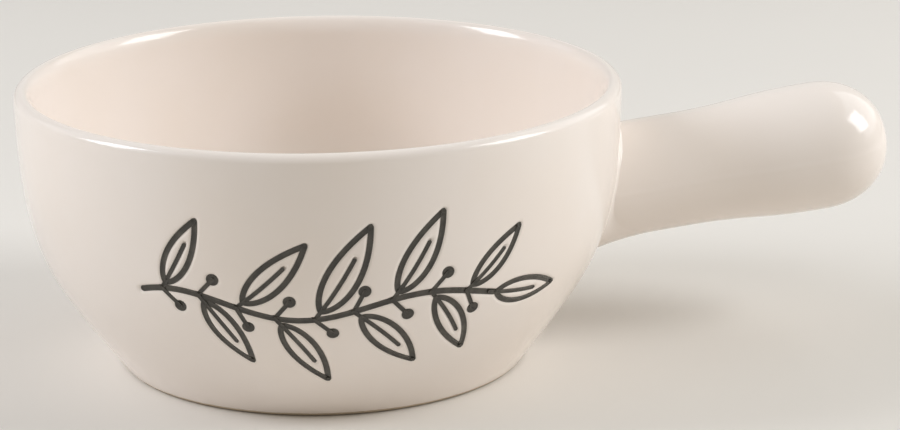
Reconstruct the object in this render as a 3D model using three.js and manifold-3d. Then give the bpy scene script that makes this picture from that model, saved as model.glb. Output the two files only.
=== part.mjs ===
// Handled soup bowl in glazed stoneware: a turned bowl, a hollow cast stick handle,
// and the ring of joining slip that holds the handle to the bowl's wall.
// Millimetres, +Z up. The handle points along +X, and the bowl is even about the XZ plane.
// The origin is on the table, under the middle of the whole outline.

import * as THREE from 'three';
import { mergeVertices } from 'three/addons/utils/BufferGeometryUtils.js';
import { ParametricGeometry } from 'three/addons/geometries/ParametricGeometry.js';
import Module from 'manifold-3d';

const { degToRad, lerp } = THREE.MathUtils;

// Bowl
const RIM_RADIUS = 70;
const BOWL_HEIGHT = 66;
const BOWL_WALL = 4;
const FLOOR_THICKNESS = 6;
const FLOOR_ROUND_HEIGHT = 15;

// Outer wall: it leaves the foot at the heel angle and ends at the lip with a slight outward lean.
// The fullness values say how far, as a share of its chord, the wall holds each of those directions.
const FOOT_RADIUS = 47.5;
const HEEL_ANGLE = degToRad(54);
const HEEL_FULLNESS = 0.42;
const RIM_LEAN = degToRad(1);
const RIM_FULLNESS = 0.55;

// Foot ring
const FOOT_RING_WIDTH = 5;
const FOOT_EDGE_ROUND = 2;
const FOOT_RECESS = 1.5;

// Handle: its straight axis starts at the rim radius, at the root height, and climbs outward.
// Past the straight neck it swells up to where the rounded end begins.
const HANDLE_REACH = 137;
const HANDLE_ROOT_HEIGHT = 37.2;
const HANDLE_TILT = degToRad(6.5);
const HANDLE_WALL = 5;
const NECK_RADIUS = 13.6;
const NECK_LENGTH = 15.5;
const GRIP_RADIUS = 15.3;
const END_LENGTH = 17.2;
const VENT_DIAMETER = 3.5;
const VENT_DISTANCE = 16;

// Joining slip: a bed under the handle's cut edge, and outside it a bead that sweeps out along the handle.
// The hollow is the share of the sweep at which the bead has thinned to the slip's edge.
// The focus says how closely the long bead and sweep keep to the handle's underside.
const SLIP_BED = 1;
const SLIP_EDGE = 0.4;
const SLIP_SPREAD_TOP = 1;
const SLIP_SPREAD_UNDER = 2.3;
const SLIP_BEAD_TOP = 0.5;
const SLIP_BEAD_UNDER = 3;
const SLIP_SWEEP_TOP = 2;
const SLIP_SWEEP_UNDER = 15;
const SLIP_HOLLOW = 0.5;
const SLIP_FOCUS = 4;

// Clearance between pieces that are fitted to each other
const JOINT_GAP = 0.3;

// Facets
const BOWL_SIDES = 72;
const HANDLE_SIDES = 40;
const BORE_SIDES = 28;
const VENT_SIDES = 16;
const RING_STATIONS = 48;
const WALL_STEPS = 14;
const LIP_STEPS = 7;
const FLOOR_ROUND_STEPS = 7;
const FOOT_EDGE_STEPS = 3;
const SWELL_STEPS = 8;
const TIP_STEPS = 9;
const FILLET_STEPS = 6;
const BISECTION_STEPS = 40;

const GLAZE = { color: 0xf1e8df, roughness: 0.16, metalness: 0 };

const wasm = await Module();
wasm.setup();

// Closed geometry to solid, and back
function toSolid(geometry) {
  const bare = geometry.clone();
  bare.deleteAttribute('normal');
  bare.deleteAttribute('uv');
  const merged = mergeVertices(bare);
  const mesh = new wasm.Mesh({
    numProp: 3,
    vertProperties: new Float32Array(merged.attributes.position.array),
    triVerts: new Uint32Array(merged.index.array),
  });
  return new wasm.Manifold(mesh);
}

function toGeometry(solid) {
  const mesh = solid.getMesh();
  const geometry = new THREE.BufferGeometry();
  geometry.setAttribute('position', new THREE.BufferAttribute(mesh.vertProperties, mesh.numProp));
  geometry.setIndex(new THREE.BufferAttribute(mesh.triVerts, 1));
  geometry.computeVertexNormals();
  return geometry;
}

// Value between low and high where a rising function reaches the target
function solveRising(rising, target, low, high) {
  let below = low;
  let above = high;
  for (let step = 0; step < BISECTION_STEPS; step += 1) {
    const middle = (below + above) / 2;
    if (rising(middle) < target) below = middle;
    else above = middle;
  }
  return (below + above) / 2;
}

// Points on an arc of a circle in the profile plane, where x is the radius and y the height
function arcPoints(centre, radius, from, to, steps) {
  const points = [];
  for (let step = 0; step <= steps; step += 1) {
    const angle = lerp(from, to, step / steps);
    const offset = new THREE.Vector2(Math.cos(angle), Math.sin(angle)).multiplyScalar(radius);
    points.push(centre.clone().add(offset));
  }
  return points;
}

// Profile turned round the Z axis
function turned(profile, sides) {
  return new THREE.LatheGeometry(profile, sides).rotateX(Math.PI / 2);
}

// Outer wall of the bowl, from the foot's rounded edge to the lip
const lipRadius = BOWL_WALL / 2;
const lipCentre = new THREE.Vector2(RIM_RADIUS - lipRadius, BOWL_HEIGHT - lipRadius);
const wallFoot = new THREE.Vector2(FOOT_RADIUS, FOOT_EDGE_ROUND * (1 - Math.cos(HEEL_ANGLE)));
const wallTop = new THREE.Vector2(Math.cos(RIM_LEAN), -Math.sin(RIM_LEAN))
  .multiplyScalar(lipRadius)
  .add(lipCentre);
const wallChord = wallFoot.distanceTo(wallTop);
const outerWall = new THREE.CubicBezierCurve(
  wallFoot,
  new THREE.Vector2(Math.cos(HEEL_ANGLE), Math.sin(HEEL_ANGLE))
    .multiplyScalar(wallChord * HEEL_FULLNESS)
    .add(wallFoot),
  new THREE.Vector2(-Math.sin(RIM_LEAN), -Math.cos(RIM_LEAN))
    .multiplyScalar(wallChord * RIM_FULLNESS)
    .add(wallTop),
  wallTop,
);

// Point at a share of the outer wall, moved square to it: outward where the distance is positive
function wallOffset(share, distance) {
  const along = outerWall.getTangent(share);
  const outward = new THREE.Vector2(along.y, -along.x);
  return outward.multiplyScalar(distance).add(outerWall.getPoint(share));
}

// Distance of a point from the bowl's outer wall, positive outside
function wallDistance(point) {
  const share = solveRising((value) => outerWall.getPoint(value).y, point.z, 0, 1);
  const clear = Math.hypot(point.x, point.y) - outerWall.getPoint(share).x;
  return clear * outerWall.getTangent(share).y;
}

function bowlProfile() {
  const floorTop = FOOT_RECESS + FLOOR_THICKNESS;
  const ringInner = FOOT_RADIUS - FOOT_RING_WIDTH;
  const edgeCentre = new THREE.Vector2(
    FOOT_RADIUS - FOOT_EDGE_ROUND * Math.sin(HEEL_ANGLE),
    FOOT_EDGE_ROUND,
  );
  const underside = [
    new THREE.Vector2(0, FOOT_RECESS),
    new THREE.Vector2(ringInner - FOOT_RECESS, FOOT_RECESS),
    new THREE.Vector2(ringInner, 0),
    ...arcPoints(edgeCentre, FOOT_EDGE_ROUND, -Math.PI / 2, HEEL_ANGLE - Math.PI / 2, FOOT_EDGE_STEPS),
  ];
  const outside = outerWall.getPoints(WALL_STEPS).slice(1);
  const lip = arcPoints(lipCentre, lipRadius, -RIM_LEAN, Math.PI - RIM_LEAN, LIP_STEPS).slice(1);

  // The inner wall follows the outer one down to where the floor's round begins.
  const roundShare = solveRising(
    (share) => wallOffset(share, -BOWL_WALL).y,
    floorTop + FLOOR_ROUND_HEIGHT,
    0,
    1,
  );
  const inside = [];
  for (let step = 1; step <= WALL_STEPS; step += 1) {
    inside.push(wallOffset(lerp(1, roundShare, step / WALL_STEPS), -BOWL_WALL));
  }
  const roundTop = wallOffset(roundShare, -BOWL_WALL);
  const slope = outerWall.getTangent(roundShare);
  const corner = new THREE.Vector2(roundTop.x - (FLOOR_ROUND_HEIGHT * slope.x) / slope.y, floorTop);
  const floorEdge = new THREE.Vector2(corner.x - corner.distanceTo(roundTop), floorTop);
  const floorRound = new THREE.QuadraticBezierCurve(roundTop, corner, floorEdge);
  return [
    ...underside,
    ...outside,
    ...lip,
    ...inside,
    ...floorRound.getPoints(FLOOR_ROUND_STEPS).slice(1),
    new THREE.Vector2(0, floorTop),
  ];
}

// Space inside a copy of the outer wall that stands off it by a clearance, closed at the axis
function wallStandOff(clearance) {
  const points = [];
  for (let step = 0; step <= WALL_STEPS; step += 1) {
    points.push(wallOffset(step / WALL_STEPS, clearance));
  }
  const bottom = new THREE.Vector2(0, points[0].y);
  const top = new THREE.Vector2(0, points[WALL_STEPS].y);
  return turned([bottom, ...points, top], BOWL_SIDES);
}

// The handle's own frame: its axis is the local Z, and its upper side faces the local -X.
const handleFrame = new THREE.Matrix4()
  .makeTranslation(RIM_RADIUS, 0, HANDLE_ROOT_HEIGHT)
  .multiply(new THREE.Matrix4().makeRotationY(Math.PI / 2 - HANDLE_TILT));

// Distance along the axis from the root to where the rounded end begins
const endReach = Math.hypot(END_LENGTH * Math.cos(HANDLE_TILT), GRIP_RADIUS * Math.sin(HANDLE_TILT));
const endDistance = (HANDLE_REACH - RIM_RADIUS - endReach) / Math.cos(HANDLE_TILT);

// The handle's root starts this far inside the rim radius, before the saddle is cut.
const rootDepth = RIM_RADIUS - FOOT_RADIUS;

// Half of the handle's outline: straight neck, smooth swell and rounded end
function handleOutline(inset, start) {
  const neck = new THREE.Vector2(NECK_RADIUS - inset, NECK_LENGTH);
  const grip = new THREE.Vector2(GRIP_RADIUS - inset, endDistance);
  const middle = (NECK_LENGTH + endDistance) / 2;
  const swell = new THREE.CubicBezierCurve(
    neck,
    new THREE.Vector2(neck.x, middle),
    new THREE.Vector2(grip.x, middle),
    grip,
  );
  const end = new THREE.EllipseCurve(0, endDistance, grip.x, END_LENGTH - inset, 0, Math.PI / 2);
  return [
    new THREE.Vector2(0, start),
    new THREE.Vector2(neck.x, start),
    ...swell.getPoints(SWELL_STEPS),
    ...end.getPoints(TIP_STEPS).slice(1, -1),
    new THREE.Vector2(0, endDistance + END_LENGTH - inset),
  ];
}

function bowlGeometry() {
  return turned(bowlProfile(), BOWL_SIDES);
}

function handleGeometry() {
  const outside = turned(handleOutline(0, -rootDepth), HANDLE_SIDES).applyMatrix4(handleFrame);
  const hollow = turned(handleOutline(HANDLE_WALL, -2 * rootDepth), BORE_SIDES).applyMatrix4(handleFrame);
  const vent = new THREE.CylinderGeometry(VENT_DIAMETER / 2, VENT_DIAMETER / 2, GRIP_RADIUS, VENT_SIDES)
    .rotateZ(Math.PI / 2)
    .translate(GRIP_RADIUS, 0, VENT_DISTANCE)
    .applyMatrix4(handleFrame);
  const saddle = wallStandOff(SLIP_BED + 2 * JOINT_GAP);
  const solid = toSolid(outside)
    .subtract(toSolid(hollow))
    .subtract(toSolid(vent))
    .subtract(toSolid(saddle));
  return toGeometry(solid);
}

// Point of the handle's frame at an angle round the axis, counted from the upper side
function roundHandle(angle, radius, distance) {
  const point = new THREE.Vector3(-radius * Math.cos(angle), -radius * Math.sin(angle), distance);
  return point.applyMatrix4(handleFrame);
}

// Distance along the axis where a line beside it stands off the bowl's wall by a clearance
function seatDistance(angle, radius, clearance) {
  const standOff = (distance) => wallDistance(roundHandle(angle, radius, distance));
  return solveRising(standOff, clearance, -rootDepth, rootDepth);
}

// Section of the joining slip at one angle: the bed between wall and cut edge, then the bead and its sweep
function slipSection(angle) {
  const under = (1 - Math.cos(angle)) / 2;
  const lowest = under ** SLIP_FOCUS;
  const inner = NECK_RADIUS - HANDLE_WALL;
  const outer = NECK_RADIUS + JOINT_GAP;
  const spread = outer + lerp(SLIP_SPREAD_TOP, SLIP_SPREAD_UNDER, under);
  const bedTop = JOINT_GAP + SLIP_BED;
  const seated = (radius, clearance) => {
    return roundHandle(angle, radius, seatDistance(angle, radius, clearance));
  };
  const beadStart = seatDistance(angle, spread, JOINT_GAP + SLIP_EDGE);
  const beadEnd = beadStart + lerp(SLIP_BEAD_TOP, SLIP_BEAD_UNDER, lowest);
  const sweepStart = seatDistance(angle, outer, JOINT_GAP) + SLIP_EDGE;
  const sweepEnd = sweepStart + lerp(SLIP_SWEEP_TOP, SLIP_SWEEP_UNDER, lowest);
  const fillet = new THREE.CubicBezierCurve3(
    roundHandle(angle, spread, beadStart),
    roundHandle(angle, spread, beadEnd),
    roundHandle(angle, outer + SLIP_EDGE, lerp(sweepStart, sweepEnd, SLIP_HOLLOW)),
    roundHandle(angle, outer + SLIP_EDGE, sweepEnd),
  );
  return [
    seated(inner, JOINT_GAP),
    seated(outer, JOINT_GAP),
    seated(spread, JOINT_GAP),
    ...fillet.getPoints(FILLET_STEPS),
    roundHandle(angle, outer, sweepEnd),
    seated(outer, bedTop),
    seated(inner, bedTop),
  ];
}

function slipGeometry() {
  const sections = [];
  for (let station = 0; station < RING_STATIONS; station += 1) {
    sections.push(slipSection((station / RING_STATIONS) * 2 * Math.PI));
  }
  const sides = sections[0].length;
  const ring = (around, across, target) => {
    const section = sections[Math.round(around * RING_STATIONS) % RING_STATIONS];
    target.copy(section[Math.round(across * sides) % sides]);
  };
  return new ParametricGeometry(ring, RING_STATIONS, sides);
}

function piece(name, geometry) {
  const mesh = new THREE.Mesh(geometry, new THREE.MeshStandardMaterial(GLAZE));
  mesh.name = name;
  return mesh;
}

const bowl = new THREE.Group();
bowl.add(piece('bowl_body', bowlGeometry()));
bowl.add(piece('handle', handleGeometry()));
bowl.add(piece('luting_slip', slipGeometry()));

// The middle of the whole length, rim to handle end, stands over the origin.
bowl.position.x = (RIM_RADIUS - HANDLE_REACH) / 2;

export default bowl;
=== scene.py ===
"""Handled soup bowl in ivory glaze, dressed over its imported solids.

Each operator makes one piece in metres, in the frame of the solids: the turned bowl with its carved lines,
the charcoal lines inlaid in them, the cast handle and the joining slip. The last operator sets the stage.
"""

from math import cos, pi, radians, sin, tau

import bmesh
import bpy
import numpy as np
from bpy.props import FloatProperty, FloatVectorProperty, IntProperty, PointerProperty
from bpy.types import Operator, Panel, PropertyGroup
from mathutils import Matrix, Vector


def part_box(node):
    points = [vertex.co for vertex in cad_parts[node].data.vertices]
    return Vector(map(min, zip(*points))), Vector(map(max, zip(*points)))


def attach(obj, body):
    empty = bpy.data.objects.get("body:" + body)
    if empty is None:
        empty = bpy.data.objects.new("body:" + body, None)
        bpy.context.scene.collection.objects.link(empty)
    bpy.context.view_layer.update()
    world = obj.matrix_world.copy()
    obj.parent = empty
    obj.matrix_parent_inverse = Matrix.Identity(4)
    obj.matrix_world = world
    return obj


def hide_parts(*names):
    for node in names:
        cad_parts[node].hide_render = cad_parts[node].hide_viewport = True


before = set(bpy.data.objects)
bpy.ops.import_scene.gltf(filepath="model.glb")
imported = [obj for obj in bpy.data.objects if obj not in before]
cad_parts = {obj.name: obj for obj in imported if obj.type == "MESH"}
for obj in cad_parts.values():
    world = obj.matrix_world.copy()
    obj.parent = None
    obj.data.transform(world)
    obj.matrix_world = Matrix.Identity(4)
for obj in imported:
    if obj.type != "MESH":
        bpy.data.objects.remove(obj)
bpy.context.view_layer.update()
BOWL_LOW, BOWL_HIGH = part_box("bowl_body")
HANDLE_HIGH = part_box("handle")[1]
AXIS_X = (BOWL_LOW.x + BOWL_HIGH.x) / 2
BODY = "root"

bl_info = {
    "name": "Handled soup bowl",
    "version": (1, 0, 0),
    "blender": (4, 5, 0),
    "location": "View3D > Sidebar > Soup bowl",
    "description": "Turns, carves, casts and glazes a soup bowl with a stick handle",
    "category": "Add Mesh",
}


def number(name, description, default, **options):
    """Property for a plain number."""
    return FloatProperty(name=name, description=description, default=default, **options)


def integer(name, description, default, **limits):
    """Property for a whole number."""
    return IntProperty(name=name, description=description, default=default, **limits)


def length(name, description, default):
    """Property for a length in metres."""
    return number(name, description, default, unit="LENGTH", precision=5)


def angle(name, description, degrees):
    """Property for an angle, given in degrees."""
    return number(name, description, radians(degrees), unit="ROTATION")


def share(name, description, default):
    """Property for a share between 0 and 1."""
    return number(name, description, default, min=0, max=1, subtype="FACTOR")


def power(name, description, default):
    """Property for a lamp's power in watts."""
    return number(name, description, default, unit="POWER")


def colour(name, description, srgb):
    """Property for a colour, given in the 0 to 255 values of a screen."""
    return FloatVectorProperty(
        name=name, description=description, default=[to_linear(value) for value in srgb],
        size=3, min=0, max=1, subtype="COLOR",
    )


def to_linear(value):
    """Linear light of one 0 to 255 screen value, by the curve of sRGB."""
    part = value / 255
    return part / 12.92 if part <= 0.04045 else ((part + 0.055) / 1.055) ** 2.4


class BowlSizes(PropertyGroup):
    """Sizes of the turned bowl."""

    rim_radius: length("Rim radius", "Radius of the lip's outer edge", (BOWL_HIGH.y - BOWL_LOW.y) / 2)
    height: length("Height", "Height of the lip above the table", BOWL_HIGH.z)
    wall: length("Wall", "Thickness of the wall", 0.004)
    floor_thickness: length("Floor thickness", "Thickness of the floor over the recess", 0.006)
    floor_round: length("Floor round", "Height at which the inner wall starts to round into the floor", 0.015)
    foot_radius: length("Foot radius", "Radius at which the wall leaves the foot", 0.0475)
    heel_angle: angle("Heel angle", "Angle at which the wall leaves the foot, above the table", 54)
    heel_fullness: share("Heel fullness", "Share of the wall's chord that holds the heel angle", 0.42)
    rim_lean: angle("Rim lean", "Outward lean of the wall at the lip", 1)
    rim_fullness: share("Rim fullness", "Share of the wall's chord that holds the rim lean", 0.55)
    lip_ease: length("Lip ease", "Height over which the lip eases into the inner wall", 0.0048)
    ring_width: length("Foot ring width", "Width of the ring that the bowl stands on", 0.005)
    foot_round: length("Foot edge round", "Radius of the foot's outer edge", 0.002)
    recess: length("Recess", "Depth of the recess inside the foot ring", 0.0015)
    swell: length("Hand of the maker", "How far the wall strays from true, in and out", 0.00004)
    columns: integer("Columns", "Faces round the bowl", 400, min=64, max=420)
    gather: share("Gather", "Share of the columns on the carved side", 0.69)
    carved_arc: angle("Carved arc", "Angle of the carved side", 100)


class HandleSizes(PropertyGroup):
    """Sizes of the cast stick handle."""

    reach: length("Reach", "Distance of the round end from the bowl's axis", HANDLE_HIGH.x - AXIS_X)
    root_height: length("Root height", "Height of the handle's axis at the rim radius", 0.0372)
    tilt: angle("Tilt", "Climb of the handle's axis", 6.5)
    neck_radius: length("Neck radius", "Radius next to the bowl", 0.0136)
    neck_length: length("Neck length", "Distance over which the neck stays straight", 0.0155)
    grip_radius: length("Grip radius", "Radius of the grip where its rounded end begins", 0.0153)
    end_length: length("End length", "Length of the rounded end", 0.0172)
    end_power: number("End power", "Power of the rounded end's curve, 1 for an ellipse", 0.9)
    wall: length("Wall", "Thickness of the cast wall", 0.005)
    vent_radius: length("Vent radius", "Radius of the vent hole underneath", 0.00175)
    vent_distance: length("Vent distance", "Distance of the vent hole along the axis", 0.016)
    seam_height: length("Seam height", "Height of the mould's seam on both sides", 0.00005)
    seam_width: length("Seam width", "Width of the mould's seam", 0.0016)


class SlipSizes(PropertyGroup):
    """Sizes of the joining slip between handle and bowl."""

    spread_top: length("Spread on top", "How far the bead stands off the neck on top", 0.0008)
    spread_under: length("Spread underneath", "How far the bead stands off the neck underneath", 0.0018)
    web_end: length("Web", "How far it is smeared over the wall above and below the handle", 0.0005)
    web_side: length("Web beside", "How much further it is smeared over the wall beside the handle", 0.0065)
    edge: share("Edge", "Share of the bead's height at which the smear ends on the wall", 0.2)
    slight: share("Slight", "Share by which bead, spread and sweep are smaller beside the handle", 0.5)
    bead_top: length("Bead on top", "Distance of the bead's crest from the wall on top", 0.0007)
    bead_under: length("Bead underneath", "Distance of the bead's crest from the wall underneath", 0.0016)
    ridge: length("Ridge", "Height of the ridge along the bead's crest", 0.00022)
    ridge_width: length("Ridge width", "Half width of the ridge along the bead's crest", 0.0006)
    sweep_top: length("Sweep on top", "How far it runs up the handle on top", 0.0020)
    sweep_under: length("Sweep underneath", "How far it runs up the handle underneath", 0.0205)
    fullness: share("Fullness", "Share of the sweep over which it stays full", 0.19)
    hollow: share("Hollow", "Share of the sweep at which it has thinned out", 0.4)
    focus: number("Focus", "How closely the long sweep keeps to the underside", 5)


class VineSizes(PropertyGroup):
    """Sizes of the leafy stem inlaid in the bowl's wall."""

    facing: angle("Facing", "Direction of the stem's middle, seen from the bowl's axis", -93)
    middle: length("Middle", "Distance of the stem from the foot, up along the wall", 0.0355)
    span: length("Span", "Length of the stem", 0.082)
    wave: length("Wave", "Height of the stem's wave", 0.0030)
    leaves: integer("Leaves", "Number of side leaves", 9, min=2, max=24)
    leaf_length: length("Leaf length", "Length of the longest leaves", 0.0215)
    leaf_width: length("Leaf width", "Width of the longest leaves", 0.0066)
    lean: angle("Lean", "Angle between leaf and stem", 50)
    line_width: length("Line width", "Width of the leaves' outlines", 0.0013)
    groove_depth: length("Groove depth", "Depth of the carved grooves", 0.00055)
    seed: integer("Seed", "Choice of the leaves' small differences", 7)


class Finish(PropertyGroup):
    """Colours of glaze, clay and inlaid lines."""

    ivory: colour("Ivory", "Glaze where it lies at its usual thickness", (249, 240, 233))
    cream: colour("Cream", "Glaze where it lies thicker or thinner", (247, 236, 226))
    clay: colour("Clay", "Bare clay of the foot ring", (214, 196, 172))
    charcoal: colour("Charcoal", "Inlaid lines under the glaze", (58, 55, 49))
    gloss: share("Roughness", "Roughness of the glaze", 0.12)


class StageSizes(PropertyGroup):
    """Camera, lamps, room and table."""

    camera_place: FloatVectorProperty(
        name="Camera", description="Place of the camera", default=(-0.12758, -0.66942, 0.227), unit="LENGTH",
    )
    pan: angle("Pan", "Turn of the camera to the right of the +Y axis", 10.55)
    pitch: angle("Pitch", "Downward look of the camera", 16.05)
    roll: angle("Roll", "Roll of the camera", -0.56)
    lens: number("Lens", "Focal length on a sensor 36 mm wide", 120, unit="CAMERA")
    table: colour("Table", "Colour of the table", (238, 234, 228))
    room: colour("Room", "Colour of the light from all sides", (255, 248, 234))
    room_strength: number("Room light", "Strength of the light from all sides", 0.26)
    left_lamp: power("Left lamp", "Power of the left lamp", 6.4)
    left_screen: power("Left screen", "Power of the wide screen on the left", 3.4)
    right_lamp: power("Right lamp", "Power of the right lamp", 6.0)
    right_screen: power("Right screen", "Power of the wide screen on the right", 5.5)
    backdrop: colour("Backdrop", "Colour behind the table's far edge", (222, 219, 213))


class SoupBowl(PropertyGroup):
    """All sizes and colours of the soup bowl."""

    bowl: PointerProperty(type=BowlSizes)
    handle: PointerProperty(type=HandleSizes)
    slip: PointerProperty(type=SlipSizes)
    vine: PointerProperty(type=VineSizes)
    finish: PointerProperty(type=Finish)
    stage: PointerProperty(type=StageSizes)


# Nodes

PATTERNS = {  # scale in waves per metre, and detail
    "swell": (34.0, 1.0), "drift": (16.0, 3.0), "fine": (260.0, 2.0), "ripple": (190.0, 1.0),
    "ragged": (420.0, 3.0), "grain": (1900.0, 4.0), "patch": (420.0, 4.0), "cloud": (9.0, 3.0),
}


class Wire:
    """A link in a node tree. Arithmetic on links adds Math nodes to that tree."""

    def __init__(self, tree, socket=None):
        self.tree = tree
        self.socket = socket

    def node(self, kind, settings=None, sockets=None, output=0):
        """Add a node: its settings first, then the values or links of its sockets."""
        node = self.tree.nodes.new(kind)
        for name, value in (settings or {}).items():
            setattr(node, name, value)
        feed(node, sockets or {})
        return Wire(self.tree, node.outputs[output] if node.outputs else None)

    def out(self, name):
        """Another output of the same node."""
        return Wire(self.tree, self.socket.node.outputs[name])

    def maths(self, operation, *others):
        """This value and others through one Math node."""
        return self.node("ShaderNodeMath", {"operation": operation}, dict(enumerate([self, *others])))

    def __add__(self, other):
        return self.maths("ADD", other)

    def __sub__(self, other):
        return self.maths("SUBTRACT", other)

    def __rsub__(self, other):
        return self.node("ShaderNodeMath", {"operation": "SUBTRACT"}, {0: other, 1: self})

    def __mul__(self, other):
        return self.maths("MULTIPLY", other)

    def __truediv__(self, other):
        return self.maths("DIVIDE", other)

    __radd__ = __add__
    __rmul__ = __mul__

    def smooth(self, low, high):
        """0 below low, 1 above high, and a smooth step between them."""
        return self.node("ShaderNodeMapRange", {"interpolation_type": "SMOOTHSTEP"}, {
            0: self, 1: low, 2: high, 3: 0.0, 4: 1.0,
        })


def feed(node, values):
    """Give a node's sockets their values or links. A list gives one socket several links."""
    for key, value in values.items():
        for item in value if isinstance(value, list) else [value]:
            if isinstance(item, Wire):
                item.tree.links.new(item.socket, node.inputs[key])
            else:
                node.inputs[key].default_value = item


def mixed(factor, first, second):
    """Colour between two colours, each a link or three values."""
    first, second = (shade if isinstance(shade, Wire) else (*shade, 1.0) for shade in (first, second))
    return factor.node("ShaderNodeMix", {"data_type": "RGBA"}, {0: factor, 6: first, 7: second}, output=2)


def scaled(shade, amount):
    """Colour made darker or brighter."""
    return [value * amount for value in shade]


def noise(place, pattern, **more):
    """Soft random pattern between 0 and 1."""
    scale, detail = PATTERNS[pattern]
    return place.node("ShaderNodeTexNoise", None, {"Vector": place, "Scale": scale, "Detail": detail, **more})


def vector(x, y, z):
    """Vector link from three values, at least one of them a link."""
    start = next(value for value in (x, y, z) if isinstance(value, Wire))
    return start.node("ShaderNodeCombineXYZ", None, {0: x, 1: y, 2: z})


def parts(link):
    """The three values of a vector link."""
    split = link.node("ShaderNodeSeparateXYZ", None, {0: link})
    return split, split.out("Y"), split.out("Z")


def stretched(direction, distance):
    """Vector of a length along a direction."""
    return direction.node("ShaderNodeVectorMath", {"operation": "SCALE"}, {0: direction, 3: distance})


# Geometry trees

NUDGE = 0.0001  # keeps a whole quotient from falling to the number below
MERGED = 0.00001  # points closer than this become one
ALIKE = 0.01  # line shares closer than this are the same
GROOVE_REACH = 0.85  # share of a line's width at which its groove has faded out
SWELL_HEIGHTS = 0.004, 0.014  # where the wall's strays begin and where they are full
CREASE = 0.7  # edges of the inlaid strip that turn by more stay sharp

# Lines: widths as shares of the outlines' width, and points
LINE_SHARES = {"stem": 1.1, "leaf": 1.0, "fine": 0.74}
LINE_POINTS = {"stem": 360, "outline": 96, "rib": 72, "twig": 40, "berry": 28}
OVERLAP = 0.4  # how far a line runs into the next one, in line widths
LEAST_END = 0.03  # square of the share of its width that a round line end keeps

# Leaves and berries, in shares of the leaf's length, its width or the line's width
STALK = 0.12
RIB_END = 0.66
BEND = 0.10
BASE_POWER = 0.2
FULLNESS = 0.79
SKEW = 0.06
BERRY_PLACE = 0.26
BERRY_RADIUS = 0.58
LEAST_LEAF = 0.74
LEAF_STRAY = 0.04
LAST_LEAF = 0.86
LAST_BACK = 0.11

# Stem: its ends in half spans from the middle, its wave, and the share of it that carries leaves
STEM_ENDS = -1.16, 0.84
WAVES = 1.45
WAVE_START = 0.6
WAVE_FIRST, WAVE_FADE = 1.15, 0.4
LEAVED = 0.07, 0.90
FOLLOW = 0.5  # share of the stem's turns that leaves and berries follow
LEAN_STRAY = 0.04
BERRY_LEAN, BERRY_STRAY = 1.05, 0.1


def placed(name, data):
    """Object in the scene that shows a mesh, a lamp or a camera."""
    thing = bpy.data.objects.new(name, data)
    bpy.context.scene.collection.objects.link(thing)
    return thing


def new_tree(name, inputs):
    """Geometry tree with named inputs, and the links that carry them."""
    tree = bpy.data.node_groups.new(name, "GeometryNodeTree")
    tree.interface.new_socket("Geometry", in_out="OUTPUT", socket_type="NodeSocketGeometry")
    for label, kind in inputs.items():
        tree.interface.new_socket(label, in_out="INPUT", socket_type="NodeSocket" + kind)
    entry = tree.nodes.new("NodeGroupInput")
    return Wire(tree), {label: Wire(tree, entry.outputs[label]) for label in inputs}


def end_tree(geometry, material):
    """Close a tree: realized, with its material."""
    whole = geometry.node("GeometryNodeRealizeInstances", None, {"Geometry": geometry})
    dressed = geometry.node("GeometryNodeSetMaterial", None, {"Geometry": whole, "Material": material})
    geometry.node("NodeGroupOutput", None, {0: dressed})
    return geometry.tree


def grown(name, tree, values):
    """Object with the plain mesh that a tree makes from named values."""
    piece = placed(name, bpy.data.meshes.new(name))
    modifier = piece.modifiers.new("Tree", "NODES")
    modifier.node_group = tree
    for item in tree.interface.items_tree:
        if item.item_type == "SOCKET" and item.in_out == "INPUT":
            modifier[item.identifier] = values[item.name]
    graph = bpy.context.evaluated_depsgraph_get()
    mesh = bpy.data.meshes.new_from_object(piece.evaluated_get(graph), depsgraph=graph)
    piece.modifiers.remove(modifier)
    piece.data = mesh
    mesh.name = name
    if not mesh.vertices:
        raise RuntimeError(f"{name}: the tree made no mesh")
    return piece


def guide(name, points, closed=False):
    """Helper object: a line through points, which a tree reads."""
    mesh = bpy.data.meshes.new(name)
    count = len(points)
    edges = [(index, (index + 1) % count) for index in range(count if closed else count - 1)]
    mesh.from_pydata([tuple(point) for point in points], edges, [])
    return placed(name, mesh)


def drop(*helpers):
    """Remove helper objects."""
    for helper in helpers:
        bpy.data.objects.remove(helper)


def read(thing):
    """Geometry of an object that a tree is given."""
    return thing.node("GeometryNodeObjectInfo", None, {"Object": thing}, "Geometry")


def read_line(thing):
    """Curves along the edges of an object that a tree is given."""
    return thing.node("GeometryNodeMeshToCurve", None, {"Mesh": read(thing)})


def position(start):
    """Place of each point."""
    return start.node("GeometryNodeInputPosition")


def moved(geometry, way, value):
    """Geometry with its points moved: to a Position or by an Offset."""
    return geometry.node("GeometryNodeSetPosition", None, {"Geometry": geometry, way: value})


def joined(*geometry):
    """Several geometries as one."""
    return geometry[0].node("GeometryNodeJoinGeometry", None, {0: list(geometry)})


def named(start, name, kind):
    """Named attribute of the geometry."""
    return start.node("GeometryNodeInputNamedAttribute", {"data_type": kind}, {"Name": name})


def store(geometry, name, kind, value):
    """Geometry with a named attribute on its points."""
    return geometry.node("GeometryNodeStoreNamedAttribute", {"data_type": kind, "domain": "POINT"}, {
        "Geometry": geometry, "Name": name, "Value": value,
    })


def wall_swell(place, amount):
    """How far the wall strays from true at a place: slow, and none near the table."""
    lifted = parts(place)[2].smooth(*SWELL_HEIGHTS)
    return (noise(place, "swell") - 0.5) * 2 * amount * lifted


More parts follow.
